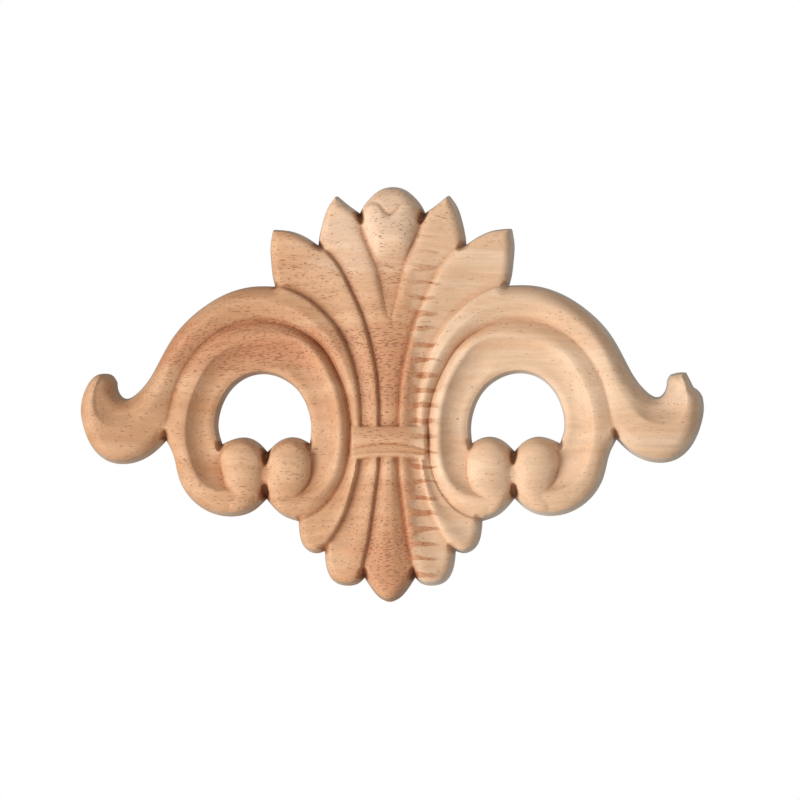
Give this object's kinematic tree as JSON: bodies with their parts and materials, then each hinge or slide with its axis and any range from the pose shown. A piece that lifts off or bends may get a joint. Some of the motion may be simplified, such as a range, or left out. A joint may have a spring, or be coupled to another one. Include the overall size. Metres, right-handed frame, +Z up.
{
  "type": "carved wooden applique",
  "caption": "Carved wooden furniture applique: a leaf palmette and a lobed shell tied by a strap, with a scroll at each side, on a flat back for gluing to a surface.",
  "frame": {"origin": "on the flat back, behind the middle of the strap that ties the leaves", "axes": "+X to the right along the length, +Z up along the leaves, -Y out of the carved face, +Y out of the flat back into the wall"},
  "size_m": [0.1505, 0.0099, 0.0999],
  "materials": {
    "wood": "bare, finely sanded rubberwood, finger-jointed, matt and unvarnished"
  },
  "bodies": {
    "root": {"applique": "wood"}
  },
  "joints": []
}
